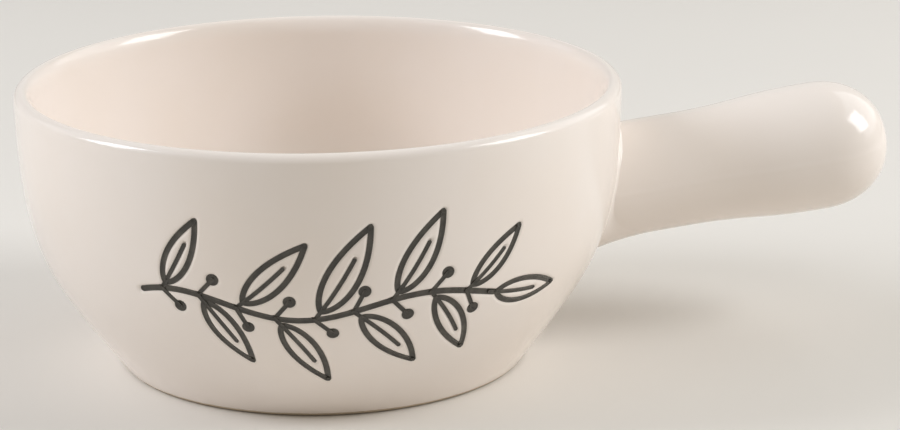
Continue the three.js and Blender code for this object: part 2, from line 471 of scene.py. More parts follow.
def bowl_tree(material):
    """Tree that turns a profile round the bowl's axis and carves grooves along the given lines."""
    start, take = new_tree("Turned bowl", {
        "Profile": "Object", "Rows": "Int", "Columns": "Int", "Axis": "Float", "Facing": "Float",
        "Gather": "Float", "Carved arc": "Float", "Swell": "Float", "Lines": "Object", "Line width": "Float",
        "Groove depth": "Float",
    })
    grid = start.node("GeometryNodeMeshGrid", None, {
        "Vertices X": take["Columns"] + 1, "Vertices Y": take["Rows"],
    })
    index = start.node("GeometryNodeInputIndex")
    column = (index / take["Rows"] + NUDGE).maths("FLOOR")
    row = index - column * take["Rows"]

    # Columns stand closer on the carved side
    signed = column / take["Columns"] * 2 - 1
    walked = signed.maths("ABSOLUTE")
    dense = walked.maths("MINIMUM", take["Gather"])
    sparse = (walked - dense) / (1 - take["Gather"])
    arc_half = take["Carved arc"] * 0.5
    turn = dense / take["Gather"] * arc_half + sparse * (pi - arc_half)
    bearing = take["Facing"] + turn * signed.maths("SIGN")
    place = position(start)
    radius, _, height = parts(start.node(
        "GeometryNodeSampleIndex", {"data_type": "FLOAT_VECTOR", "domain": "POINT"},
        {"Geometry": read(take["Profile"]), "Value": place, "Index": row},
    ))
    turned = moved(grid, "Position", vector(
        take["Axis"] + radius * bearing.maths("COSINE"), radius * bearing.maths("SINE"), height,
    ))
    closed = start.node("GeometryNodeMergeByDistance", None, {"Geometry": turned, "Distance": MERGED})

    # Grooves: full depth on the lines, fading out a little beside them
    lines = read(take["Lines"])
    own_share = named(start, "line_share", "FLOAT")
    deepest = 0.0
    for line_share in LINE_SHARES.values():
        alike = start.node("GeometryNodeSeparateGeometry", {"domain": "POINT"}, {
            "Geometry": lines,
            "Selection": (own_share - line_share).maths("ABSOLUTE").maths("LESS_THAN", ALIKE),
        })
        near = start.node("GeometryNodeProximity", {"target_element": "EDGES"}, {0: alike}, "Distance")
        depth = 1 - (near / (take["Line width"] * (line_share * GROOVE_REACH))).smooth(0.0, 1.0)
        deepest = depth.maths("MAXIMUM", deepest)
    shift = wall_swell(place, take["Swell"]) - deepest * take["Groove depth"]
    carved = moved(closed, "Offset", stretched(start.node("GeometryNodeInputNormal"), shift))
    smooth = start.node("GeometryNodeSetShadeSmooth", None, {"Geometry": carved})
    return end_tree(smooth, material)


def drawn(curve, line):
    """Curve that is marked with the share of the line width that its line has."""
    return store(curve, "line_share", "FLOAT", LINE_SHARES[line])


def level_line(first, last, line):
    """Straight line along X with evenly spaced points."""
    straight = first.node("GeometryNodeCurvePrimitiveLine", None, {
        "Start": vector(first, 0.0, 0.0), "End": vector(last, 0.0, 0.0),
    })
    return first.node("GeometryNodeResampleCurve", {"mode": "COUNT"}, {
        "Curve": straight, "Count": LINE_POINTS[line],
    })


def ring(start, radius, line):
    """Circle round the origin."""
    return start.node("GeometryNodeCurvePrimitiveCircle", {"mode": "RADIUS"}, {
        "Resolution": LINE_POINTS[line], "Radius": radius,
    })


def slid(geometry, distance):
    """Geometry moved along X as a whole."""
    return geometry.node("GeometryNodeTransform", None, {
        "Geometry": geometry, "Translation": vector(distance, 0.0, 0.0),
    })


def planted(points, motif, turn, **more):
    """Copies of a motif on points, each turned about Z."""
    rotation = turn.node("FunctionNodeEulerToRotation", None, {0: vector(0.0, 0.0, turn)})
    return points.node("GeometryNodeInstanceOnPoints", None, {
        "Points": points, "Instance": motif, "Rotation": rotation, **more,
    })


def leaf_curves(start, take):
    """Outline, middle rib and stalk of one leaf along +X: a round base and a pointed tip."""
    size = take["Leaf length"]
    stalk = size * STALK
    back, side, _ = parts(position(start))
    walked = (1 - back) * 0.5
    fullness = ((back + 1) * 0.5).maths("SQRT") * walked.maths("POWER", BASE_POWER) * FULLNESS
    half_width = take["Leaf width"] * fullness * side * (side * SKEW + 1)
    outline = moved(ring(start, 1.0, "outline"), "Position", vector(stalk + size * walked, half_width, 0.0))
    rib = level_line(take["Line width"] * -OVERLAP, stalk + size * RIB_END, "rib")
    leaf = joined(drawn(outline, "leaf"), drawn(rib, "fine"))
    along = parts(position(start))[0]
    return moved(leaf, "Offset", vector(0.0, along * along * BEND / size, 0.0))


def berry_curves(start, take):
    """Short twig along +X with a round berry at its end."""
    width = take["Line width"]
    middle = take["Leaf length"] * BERRY_PLACE
    twig = level_line(width * -OVERLAP, middle + width * OVERLAP, "twig")
    berry = slid(ring(start, width * BERRY_RADIUS, "berry"), middle)
    return joined(drawn(twig, "fine"), drawn(berry, "leaf"))


def vine_tree(material):
    """Tree that grows a leafy stem, lays it on the bowl's wall and keeps its centre lines."""
    start, take = new_tree("Leafy stem", {
        "Wall": "Object", "Axis": "Float", "Facing": "Float", "Girth": "Float", "Middle": "Float",
        "Span": "Float", "Wave": "Float", "Leaves": "Int", "Leaf length": "Float", "Leaf width": "Float",
        "Lean": "Float", "Line width": "Float", "Swell": "Float", "Seed": "Int",
    })
    first, last = (take["Span"] * 0.5 * end for end in STEM_ENDS)
    along = start.node("GeometryNodeSplineParameter")
    wave = (along * (tau * WAVES) + WAVE_START).maths("SINE") * take["Wave"]
    faded = wave * (WAVE_FIRST - along * WAVE_FADE)
    stem = moved(level_line(first, last, "stem"), "Offset", vector(0.0, faded, 0.0))

    # Leaves stand to both sides in turn, and each has a berry opposite
    leaved = start.node("GeometryNodeTrimCurve", {"mode": "FACTOR"}, {0: stem, 2: LEAVED[0], 3: LEAVED[1]})
    knots = start.node("GeometryNodeCurveToPoints", {"mode": "COUNT"}, {
        "Curve": leaved, "Count": take["Leaves"],
    })
    tangent_x, tangent_y, _ = parts(knots.out("Tangent"))
    heading = tangent_y.maths("ARCTAN2", tangent_x) * FOLLOW
    index = start.node("GeometryNodeInputIndex")
    side = 1 - index.maths("MODULO", 2.0) * 2
    stray = start.node("FunctionNodeRandomValue", {"data_type": "FLOAT"}, {
        2: -1.0, 3: 1.0, 8: take["Seed"],
    }, 1)
    fullest = ((index + 0.5) / take["Leaves"] * pi).maths("SINE")
    size = fullest * (1 - LEAST_LEAF) + LEAST_LEAF + stray * LEAF_STRAY
    leaves = planted(
        knots, leaf_curves(start, take), heading + side * (take["Lean"] + stray * LEAN_STRAY),
        Scale=vector(size, size * side, size),
    )
    berries = planted(
        knots, berry_curves(start, take), heading - side * (take["Lean"] * BERRY_LEAN - stray * BERRY_STRAY),
    )
    end_x, end_y, _ = parts(start.node("GeometryNodeInputTangent"))
    last_leaf = planted(
        stem, slid(leaf_curves(start, take), take["Leaf length"] * -LAST_BACK), end_y.maths("ARCTAN2", end_x),
        Scale=(LAST_LEAF, LAST_LEAF, LAST_LEAF),
        Selection=start.node("GeometryNodeCurveEndpointSelection", None, {"Start Size": 0, "End Size": 1}),
    )
    lines = start.node("GeometryNodeRealizeInstances", None, {
        0: joined(drawn(stem, "stem"), leaves, berries, last_leaf),
    })

    # Round line ends
    half_width = named(start, "line_share", "FLOAT") * take["Line width"] * 0.5
    walked = start.node("GeometryNodeSplineParameter", output="Length")
    whole = start.node("GeometryNodeSplineLength")
    to_end = walked.maths("MINIMUM", whole - walked)
    inset = 1 - (to_end / half_width).maths("MINIMUM", 1.0)
    rounded = (1 - inset * inset).maths("MAXIMUM", LEAST_END).maths("SQRT")
    closed = start.node("GeometryNodeInputSplineCyclic")
    lines = store(lines, "half_width", "FLOAT", half_width * rounded.maths("MAXIMUM", closed))

    # Lay the flat drawing on the wall
    across, up, _ = parts(position(start))
    spot = start.node("GeometryNodeSampleCurve", {"mode": "LENGTH"}, {
        "Curves": read_line(take["Wall"]), "Length": take["Middle"] + up,
    }, "Position")
    radius, _, level = parts(spot)
    climb_x, _, climb_z = parts(spot.out("Tangent"))
    bearing = take["Facing"] + across / take["Girth"]
    out_x, out_y = bearing.maths("COSINE"), bearing.maths("SINE")
    outward = vector(climb_z * out_x, climb_z * out_y, climb_x * -1)
    lines = store(lines, "outward", "FLOAT_VECTOR", outward)
    laid = moved(lines, "Position", vector(take["Axis"] + radius * out_x, radius * out_y, level))
    swell = wall_swell(position(start), take["Swell"])
    settled = moved(laid, "Offset", stretched(named(start, "outward", "FLOAT_VECTOR"), swell))
    return end_tree(start.node("GeometryNodeCurveToMesh", None, {"Curve": settled}), material)


def inlay_tree(material):
    """Tree that fills the grooves along the given lines with a closed strip."""
    start, take = new_tree("Inlaid lines", {"Lines": "Object", "Section": "Object"})
    upright = start.node("GeometryNodeSetCurveNormal", {"mode": "FREE"}, {
        "Curve": read_line(take["Lines"]), "Normal": named(start, "outward", "FLOAT_VECTOR"),
    })
    strips = start.node("GeometryNodeCurveToMesh", None, {
        "Curve": upright, "Profile Curve": read_line(take["Section"]),
        "Scale": named(start, "half_width", "FLOAT"), "Fill Caps": True,
    })
    bent = start.node("GeometryNodeInputMeshEdgeAngle").maths("GREATER_THAN", CREASE)
    creased = start.node("GeometryNodeSetShadeSmooth", {"domain": "EDGE"}, {
        "Geometry": strips, "Selection": bent, "Shade Smooth": False,
    })
    return end_tree(creased, material)


# Profiles

WALL_POINTS = 2001
GUIDE_STEP = 10  # the guide takes every tenth point of the wall
CARVED_STEP = 0.0004  # distance between rows where the wall is carved
CARVED_REACH = 1.25  # half height of that band, in leaf lengths
RING_ROUND = 0.0005  # round of the foot ring's inner edges
ROWS = {
    "corner": 6, "foot": 8, "heel": 8, "shoulder": 14, "lip": 11, "ease": 16, "inside": 22, "floor_round": 18,
    "floor": 5,
}

# Section of the inlaid strip, in half line widths across and upward: a hollow top and a round underside
STRIP_TOP = [(-1.0, -0.14), (0.0, -0.66), (1.0, -0.14)]
STRIP_UNDER = [(0.96, -0.55), (0.5, -0.95), (-0.5, -0.95), (-0.96, -0.55)]
STRIP_POINTS = 9


def bezier(controls, shares):
    """Points of a Bezier curve at shares of its way."""
    layer = [np.tile(np.asarray(point, float), (len(shares), 1)) for point in controls]
    while len(layer) > 1:
        layer = [first + (second - first) * shares[:, None] for first, second in zip(layer, layer[1:])]
    return layer[0]


def arc(centre, radius, start, end, count):
    """Points on an arc of a circle."""
    angles = np.linspace(start, end, count)
    return np.stack([centre[0] + radius * np.cos(angles), centre[1] + radius * np.sin(angles)], axis=1)


def onward(first, last, count):
    """Evenly spaced values from the first to the last, without the first."""
    return np.linspace(first, last, count)[1:]


def unit(rows):
    """Rows scaled to length 1."""
    return rows / np.linalg.norm(rows, axis=-1, keepdims=True)


class OuterWall:
    """The bowl's outer wall: one Bezier curve of radius and height from the foot to the lip."""

    def __init__(self, sizes):
        lip = sizes.wall / 2
        heel = np.array([cos(sizes.heel_angle), sin(sizes.heel_angle)])
        lean = np.array([sin(sizes.rim_lean), cos(sizes.rim_lean)])
        foot = np.array([sizes.foot_radius, sizes.foot_round * (1 - heel[0])])
        top = np.array([sizes.rim_radius - lip * (1 - lean[1]), sizes.height - lip * (1 + lean[0])])
        chord = np.linalg.norm(top - foot)
        self.controls = [
            foot, foot + heel * chord * sizes.heel_fullness, top - lean * chord * sizes.rim_fullness, top,
        ]
        self.shares = np.linspace(0, 1, WALL_POINTS)
        self.table = self.at(self.shares)
        steps = np.linalg.norm(np.diff(self.table, axis=0), axis=1)
        self.walked = np.concatenate([[0], np.cumsum(steps)])

    def at(self, shares, out=0.0):
        """Points at shares of the wall, moved outward by a distance."""
        shares = np.asarray(shares, float)
        return bezier(self.controls, shares) + out * self.outward(shares)

    def outward(self, shares):
        """Outward directions at shares of the wall."""
        along = unit(bezier(np.diff(self.controls, axis=0), shares))
        return np.stack([along[:, 1], -along[:, 0]], axis=1)

    def share_at_length(self, lengths):
        """Shares of the wall at distances along it from the foot."""
        return np.interp(lengths, self.walked, self.shares)

    def clear(self, points):
        """Distances of points from the wall, positive outside."""
        shares = np.interp(points[..., 2], self.table[:, 1], self.shares)
        radius = self.at(shares.ravel())[:, 0].reshape(shares.shape)
        slope = self.outward(shares.ravel())[:, 0].reshape(shares.shape)
        return (np.hypot(points[..., 0], points[..., 1]) - radius) * slope


def softened(points, radius):
    """Line through points with its corners rounded."""
    points = [np.asarray(point, float) for point in points]
    line = [points[0][None]]
    for before, corner, after in zip(points, points[1:], points[2:]):
        first = corner + unit(before - corner) * radius
        last = corner + unit(after - corner) * radius
        line.append(bezier([first, corner, last], np.linspace(0, 1, ROWS["corner"])))
    line.append(points[-1][None])
    return np.concatenate(line)


def bowl_profile(sizes, wall, carved):
    """Half section of the bowl from the middle of its underside to the middle of its floor."""
    floor_top = sizes.recess + sizes.floor_thickness
    ring_inner = sizes.foot_radius - sizes.ring_width
    edge = np.array([sizes.foot_radius - sizes.foot_round * sin(sizes.heel_angle), sizes.foot_round])
    underside = softened([
        (0.0, sizes.recess), (ring_inner - sizes.recess, sizes.recess), (ring_inner, 0.0), (edge[0], 0.0),
    ], RING_ROUND)
    foot_edge = arc(edge, sizes.foot_round, -pi / 2, sizes.heel_angle - pi / 2, ROWS["foot"])

    # Rows of the outer wall lie closer where it is carved
    low, high = carved
    steps = np.concatenate([
        onward(0, low, ROWS["heel"]), onward(low, high, round((high - low) / CARVED_STEP)),
        onward(high, wall.walked[-1], ROWS["shoulder"]),
    ])
    outside = wall.at(wall.share_at_length(steps))

    # The round lip eases into the inner wall
    lip_radius = sizes.wall / 2
    lip_centre = (sizes.rim_radius - lip_radius, sizes.height - lip_radius)
    lip = arc(lip_centre, lip_radius, -sizes.rim_lean, pi / 2, ROWS["lip"])
    inner_heights = wall.at(wall.shares, -sizes.wall)[:, 1]
    ease_share = np.interp(sizes.height - sizes.lip_ease, inner_heights, wall.shares)
    ease_end = wall.at([ease_share], -sizes.wall)[0]
    turns = onward(pi / 2, 0, ROWS["ease"])
    inward = (ease_end[0] - lip_centre[0]) * np.cos(turns)
    ease = np.stack([lip_centre[0] + inward, ease_end[1] + sizes.lip_ease * np.sin(turns)], axis=1)

    # The inner wall follows the outer one down to the floor's round
    round_share = np.interp(floor_top + sizes.floor_round, inner_heights, wall.shares)
    inside = wall.at(onward(ease_share, round_share, ROWS["inside"]), -sizes.wall)
    outward = wall.outward(np.array([round_share]))[0]
    corner = np.array([inside[-1][0] + sizes.floor_round * outward[1] / outward[0], floor_top])
    floor_edge = corner - [np.linalg.norm(corner - inside[-1]), 0]
    floor_round = bezier([inside[-1], corner, floor_edge], onward(0, 1, ROWS["floor_round"]))
    floor = onward(floor_edge, (0.0, floor_top), ROWS["floor"])
    flat = np.concatenate([underside, foot_edge[1:], outside, lip[1:], ease, inside, floor_round, floor])
    return np.insert(flat, 1, 0.0, axis=1)


# Handle and slip

DOUBLES = 1e-6  # corners closer than this become one
HALVINGS = 44  # steps of the search for the wall
GRIP_POINTS = 401
ROOT_DEPTH = 0.0008  # how deep the handle's root stands in the wall
HANDLE_COLUMNS = 320
HANDLE_GATHER = 0.18  # draws the columns together on top, at the seams and at the vent
HANDLE_ROWS = {"neck": 24, "vent": 60, "grip": 36, "end": 34}
VENT_MARGIN = 2  # reach of the close rows to both sides of the vent, in its radii
VENT_MOUTH, VENT_FLOOR = 0.5, 0.45  # round of its mouth and width of its floor, in its radii
TINY = 1e-9  # keeps a division from 0

SINK = 0.00004  # how far the slip's edges dip below wall and handle
DEEP = 0.001  # how far its hidden side lies below them
SLIP_COLUMNS = 240
SMEAR_ROWS, SWEEP_ROWS = 25, 31
BESIDE_POWER = 4  # keeps what is beside the handle from its top and underside
EDGE_POWER, RISE_POWER = 12, 1.5  # curves of the smear: steep at its edge, then slowly up to the bead
THINNED = 0.88  # share of its height that the sweep aims at first
SOFT_PASSES = 4


def grid_piece(name, points, material, closed_rows=False, caps=False):
    """Object from rows of points whose columns run round and close."""
    rows, columns = points.shape[:2]
    mesh = bpy.data.meshes.new(name)
    faces = []
    for row in range(rows if closed_rows else rows - 1):
        here, after = row * columns, (row + 1) % rows * columns
        for column in range(columns):
            beside = (column + 1) % columns
            faces.append((here + column, here + beside, after + beside, after + column))
    if caps:
        faces.append(tuple(reversed(range(columns))))
        faces.append(tuple(range((rows - 1) * columns, rows * columns)))
    mesh.from_pydata(points.reshape(-1, 3).tolist(), [], faces)
    work = bmesh.new()
    work.from_mesh(mesh)
    bmesh.ops.remove_doubles(work, verts=work.verts, dist=DOUBLES)
    if work.calc_volume(signed=True) < 0:
        bmesh.ops.reverse_faces(work, faces=work.faces)
    work.to_mesh(mesh)
    work.free()
    mesh.polygons.foreach_set("use_smooth", [True] * len(mesh.polygons))
    mesh.materials.append(material)
    return placed(name, mesh)


def handle_frame(bowl, handle):
    """Frame of the handle: its axis is the local Z and its upper side faces the local -X."""
    place = Matrix.Translation((bowl.rim_radius, 0, handle.root_height))
    return np.array(place @ Matrix.Rotation(pi / 2 - handle.tilt, 4, "Y"))


def round_handle(place, angles, radius, distance):
    """Points at distances along the handle's axis and at angles round it, counted from its upper side."""
    across, beside = -radius * np.cos(angles), -radius * np.sin(angles)
    local = np.stack(np.broadcast_arrays(across, beside, distance, 1.0), axis=-1)
    return (local @ place.T)[..., :3]


def seat(wall, place, angles, radius, clearance, reach):
    """Distances along the handle's axis at which lines beside it stand off the wall by a clearance."""
    low = np.full(np.broadcast(angles, radius).shape, -reach)
    high = -low
    for _ in range(HALVINGS):
        middle = (low + high) / 2
        inside = wall.clear(round_handle(place, angles, radius, middle)) < clearance
        low = np.where(inside, middle, low)
        high = np.where(inside, high, middle)
    return (low + high) / 2


def end_distance(bowl, handle):
    """Distance along the axis from the root to where the rounded end begins."""
    end_reach = np.hypot(handle.end_length * cos(handle.tilt), handle.grip_radius * sin(handle.tilt))
    return (handle.reach - bowl.rim_radius - end_reach) / cos(handle.tilt)


def handle_radius(bowl, handle, distance):
    """Radius of the handle at distances along its axis, up to its rounded end."""
    neck, grip = handle.neck_radius, handle.grip_radius
    start, end = handle.neck_length, end_distance(bowl, handle)
    middle = (start + end) / 2
    controls = [(start, neck), (middle, neck), (middle, grip), (end, grip)]
    swell = bezier(controls, np.linspace(0, 1, GRIP_POINTS))
    return np.interp(distance, swell[:, 0], swell[:, 1])


def on_bowl(points):
    """Points moved from the bowl's axis to the frame of the solids."""
    return points + np.array([AXIS_X, 0, 0])


# Finishes

GLAZE_IOR = 1.52
DRIFT_ROUGHNESS = 0.55
DRIFT_SPAN = 0.35, 0.72
DRIFT_TONE, FINE_TONE = 0.8, 0.2
DRIFT_DULL, FINE_DULL = 0.02, 0.04
RIPPLE_STRENGTH, RIPPLE_DEPTH = 0.12, 0.00006
BARE_HEIGHTS = 0.0008, 0.0010  # the glaze begins between these heights
BARE_RAGGED = 0.0004
BARE_DULL = 0.7
CLAY_DARK = 0.72
PATCH_SPAN = 0.35, 0.8
PATCH_DULL, STAIN_DULL = 0.12, 0.06
STAIN_PALE = 1.9
STAIN = "inlaid_charcoal"


def new_material(name):
    """Material, its shader, and the place on the piece that its patterns read."""
    material = bpy.data.materials.new(name)
    material.use_nodes = True
    place = Wire(material.node_tree).node("ShaderNodeTexCoord", output="Object")
    return material, material.node_tree.nodes["Principled BSDF"], place


def ivory_glaze(name, finish, foot=False):
    """Glossy ivory glaze with slow drifts of tone and thickness. A foot ring stays bare clay."""
    material, shader, place = new_material(name)
    drift = noise(place, "drift", Roughness=DRIFT_ROUGHNESS)
    fine = noise(place, "fine")
    thin = drift.smooth(*DRIFT_SPAN) * DRIFT_TONE + fine * FINE_TONE
    tone = mixed(thin, finish.ivory, finish.cream)
    rough = finish.gloss + (fine - 0.5) * FINE_DULL + drift * DRIFT_DULL
    if foot:
        height = parts(place)[2] + (noise(place, "ragged") - 0.5) * BARE_RAGGED
        bare = 1 - height.smooth(*BARE_HEIGHTS)
        clay = mixed(noise(place, "grain"), finish.clay, scaled(finish.clay, CLAY_DARK))
        tone = mixed(bare, tone, clay)
        rough = rough + bare * BARE_DULL
    bump = place.node("ShaderNodeBump", None, {
        "Strength": RIPPLE_STRENGTH, "Distance": RIPPLE_DEPTH, "Height": noise(place, "ripple"),
    })
    feed(shader, {"Base Color": tone, "Roughness": rough, "Normal": bump, "IOR": GLAZE_IOR})
    return material


def charcoal_line(finish):
    """Charcoal stain under the glaze, a little uneven, mixed once for all lines."""
    if STAIN in bpy.data.materials:
        return bpy.data.materials[STAIN]
    material, shader, place = new_material(STAIN)
    patch = noise(place, "patch")
    tone = mixed(patch.smooth(*PATCH_SPAN), finish.charcoal, scaled(finish.charcoal, STAIN_PALE))
    rough = patch * PATCH_DULL + (finish.gloss + STAIN_DULL)
    feed(shader, {"Base Color": tone, "Roughness": rough, "IOR": GLAZE_IOR})
    return material


def stem_lines(settings):
    """Helper object: the leafy stem's centre lines, laid on the bowl's wall."""
    bowl, vine = settings.bowl, settings.vine
    wall = OuterWall(bowl)
    girth = float(wall.at(wall.share_at_length([vine.middle]))[0, 0])
    wall_guide = guide("wall_guide", np.insert(wall.table[::GUIDE_STEP], 1, 0.0, axis=1))
    lines = grown("line_guide", vine_tree(charcoal_line(settings.finish)), {
        "Wall": wall_guide, "Axis": AXIS_X, "Facing": vine.facing, "Girth": girth, "Middle": vine.middle,
        "Span": vine.span, "Wave": vine.wave, "Leaves": vine.leaves, "Leaf length": vine.leaf_length,
        "Leaf width": vine.leaf_width, "Lean": vine.lean, "Line width": vine.line_width,
        "Swell": bowl.swell, "Seed": vine.seed,
    })
    drop(wall_guide)
    return lines


def keep(piece, slot, *nodes):
    """Let a finished piece ride on the bowl's body in place of its solids."""
    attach(piece, BODY)
    if nodes:
        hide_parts(*nodes)


# Operators


class SOUPBOWL_OT_bowl(Operator):
    """Turn the bowl and carve the stem's lines in its wall"""

    bl_idname = "soup_bowl.bowl"
    bl_label = "Turn and carve the bowl"

    def execute(self, context):
        settings = context.scene.soup_bowl
        bowl, vine = settings.bowl, settings.vine
        lines = stem_lines(settings)
        band = vine.leaf_length * CARVED_REACH
        profile = bowl_profile(bowl, OuterWall(bowl), (vine.middle - band, vine.middle + band))
        profile_guide = guide("profile_guide", profile)
        glaze = ivory_glaze("bowl_glaze", settings.finish, foot=True)
        piece = grown("glazed_bowl", bowl_tree(glaze), {
            "Profile": profile_guide, "Rows": len(profile), "Columns": bowl.columns, "Axis": AXIS_X,
            "Facing": vine.facing, "Gather": bowl.gather, "Carved arc": bowl.carved_arc, "Swell": bowl.swell,
            "Lines": lines, "Line width": vine.line_width, "Groove depth": vine.groove_depth,
        })
        drop(lines, profile_guide)
        keep(piece, "bowl_glaze", "bowl_body")
        return {"FINISHED"}


class SOUPBOWL_OT_inlay(Operator):
    """Inlay the leafy stem's charcoal lines in their grooves"""

    bl_idname = "soup_bowl.inlay"
    bl_label = "Inlay the stem"

    def execute(self, context):
        settings = context.scene.soup_bowl
        lines = stem_lines(settings)
        top = bezier(STRIP_TOP, np.linspace(0, 1, STRIP_POINTS))
        across, up = np.concatenate([top, STRIP_UNDER]).T
        section_guide = guide("section_guide", np.stack([up, across, 0 * up], axis=1), closed=True)
        piece = grown("inlaid_stem", inlay_tree(charcoal_line(settings.finish)), {
            "Lines": lines, "Section": section_guide,
        })
        drop(lines, section_guide)
        keep(piece, "bowl_glaze")
        return {"FINISHED"}


class SOUPBOWL_OT_handle(Operator):
    """Cast the handle with its round end, its mould seams and its vent hole"""

    bl_idname = "soup_bowl.handle"
    bl_label = "Cast the handle"

    def execute(self, context):
        settings = context.scene.soup_bowl
        bowl, handle = settings.bowl, settings.handle
        place = handle_frame(bowl, handle)
        steps = np.arange(HANDLE_COLUMNS) / HANDLE_COLUMNS * tau
        angles = steps - HANDLE_GATHER * np.sin(4 * steps)
        reach = bowl.rim_radius - bowl.foot_radius
        root = seat(OuterWall(bowl), place, angles, handle.neck_radius, -ROOT_DEPTH, reach)

        # Rows lie closer round the vent hole
        end = end_distance(bowl, handle)
        whole = end - root.min()
        margin = handle.vent_radius * VENT_MARGIN
        before = (handle.vent_distance - margin - root.min()) / whole
        behind = before + 2 * margin / whole
        shares = np.concatenate([
            np.linspace(0, before, HANDLE_ROWS["neck"]), onward(before, behind, HANDLE_ROWS["vent"]),
            onward(behind, 1, HANDLE_ROWS["grip"]),
        ])
        swell = root + (end - root) * shares[:, None]
        turns = onward(0, pi / 2, HANDLE_ROWS["end"])[:, None] + 0 * angles
        along, across = np.sin(turns) ** handle.end_power, np.abs(np.cos(turns)) ** handle.end_power
        distance = np.concatenate([swell, end + handle.end_length * along])
        radius = np.concatenate([handle_radius(bowl, handle, swell), handle.grip_radius * across])

        # Mould seams on both sides, dying out on the rounded end
        beside = np.abs(np.cos(angles)) * handle.grip_radius
        seam = np.exp(-((beside / (handle.seam_width / 2)) ** 2)) * handle.seam_height
        radius = radius + seam * np.clip(radius / handle.grip_radius, 0, 1) ** 2
        angles, distance, sunk = self.vented(handle, angles, distance)
        points = round_handle(place, angles, radius, distance) - sunk[..., None] * place[:3, 0]
        glaze = ivory_glaze("handle_glaze", settings.finish)
        piece = grid_piece("glazed_handle", on_bowl(points), glaze, caps=True)
        keep(piece, "handle_glaze", "handle")
        return {"FINISHED"}

    def vented(self, handle, angles, distance):
        """Angles and distances drawn to a vent hole underneath, and how deep each point is sunk."""
        across = (angles - pi) * handle.neck_radius
        along = distance - handle.vent_distance
        away = np.maximum(np.hypot(across, along), TINY)
        hole = handle.vent_radius
        mouth, floor = hole * VENT_MOUTH, hole * VENT_FLOOR
        depth = handle.wall + 2 * (handle.neck_radius - handle.wall)
        near = np.clip((hole + mouth - away) / mouth, 0, 1)
        inside = np.clip((hole - away) / (hole - floor), 0, 1)
        sunk = mouth * (1 - np.sqrt(1 - near ** 2)) + inside * (depth - mouth)
        pull = np.where(away > hole, 1.0, np.minimum(hole / away, hole / floor))
        return pi + across * pull / handle.neck_radius, handle.vent_distance + along * pull, sunk


class SOUPBOWL_OT_slip(Operator):
    """Smooth the joining slip between the handle's root and the bowl's wall"""

    bl_idname = "soup_bowl.slip"
    bl_label = "Lute the joint"

    def execute(self, context):
        settings = context.scene.soup_bowl
        bowl, handle, slip = settings.bowl, settings.handle, settings.slip
        wall = OuterWall(bowl)
        place = handle_frame(bowl, handle)
        angles = np.arange(SLIP_COLUMNS) / SLIP_COLUMNS * tau
        under = (1 - np.cos(angles)) / 2
        lowest = under ** slip.focus
        beside = np.sin(angles) ** BESIDE_POWER
        slight = 1 - slip.slight * beside
        spread = (slip.spread_top + (slip.spread_under - slip.spread_top) * under) * slight
        bead = (slip.bead_top + (slip.bead_under - slip.bead_top) * lowest) * slight
        sweep = (slip.sweep_top + (slip.sweep_under - slip.sweep_top) * lowest) * slight
        web = slip.web_end + slip.web_side * beside

        # Section at each angle: a smear that rises from the wall, then a sweep that thins out on the handle
        rise = np.linspace(0, 1, SMEAR_ROWS)[:-1, None]
        height = slip.edge * (1 - (1 - rise) ** EDGE_POWER) + (1 - slip.edge) * rise ** RISE_POWER
        full, thin = (bead + (sweep - bead) * part for part in (slip.fullness, slip.hollow))
        shares = np.linspace(0, 1, SWEEP_ROWS)
        along = np.concatenate([bead * height, bezier([bead, full, thin, sweep], shares)])
        raised = np.concatenate([
            spread + web * (1 - rise), bezier([spread, spread * THINNED, spread * 0, spread * 0], shares),
        ])
        for line in [along, raised] * SOFT_PASSES:
            line[1:-1] = (line[:-2] + 2 * line[1:-1] + line[2:]) / 4
        raised = raised + slip.ridge * np.exp(-(((along - bead) / slip.ridge_width) ** 2)) - SINK

        def seated(radius, clearance):
            return seat(wall, place, angles, radius, clearance, bowl.rim_radius - bowl.foot_radius)

        neck = np.full_like(angles, handle.neck_radius)
        distance = seated(neck + np.maximum(raised, 0), -SINK) + along
        fillet = round_handle(place, angles, handle_radius(bowl, handle, distance) + raised, distance)
        buried = np.stack([neck - DEEP, neck - DEEP, neck + raised[0]])
        inner = round_handle(place, angles, buried, np.stack([
            distance[-1], seated(buried[1], -DEEP), seated(buried[2], -DEEP),
        ]))
        points = on_bowl(np.concatenate([fillet, inner]))
        glaze = ivory_glaze("slip_glaze", settings.finish)
        piece = grid_piece("glazed_slip", points, glaze, closed_rows=True)
        keep(piece, "slip_glaze", "luting_slip")
        return {"FINISHED"}


# Lamps: bearing from the camera's side and elevation in degrees, width and height in metres, and colour
LAMPS = {
    "left_lamp": (-88, 32, (0.4, 0.55), (0.9, 0.935, 1.0)),
    "left_screen": (-98, 38, (1.5, 1.0), (0.9, 0.935, 1.0)),
    "right_lamp": (81, 33, (0.5, 0.54), (0.965, 0.98, 1.0)),
    "right_screen": (106, 34, (1.4, 1.0), (0.95, 0.975, 1.0)),
}
CAMERA_SIDE = -8  # bearing of the camera's side from the -Y axis, in degrees
LAMP_DISTANCE = 1.2
LAMP_TARGET = Vector((AXIS_X + 0.02, 0, 0.04))
SENSOR_WIDTH = 36
NEAREST = 0.01
TABLE_RADIUS, TABLE_EDGES = 6, 96
TABLE_DARK = 0.97
TABLE_ROUGHNESS, TABLE_SHEEN = 0.9, 0.2


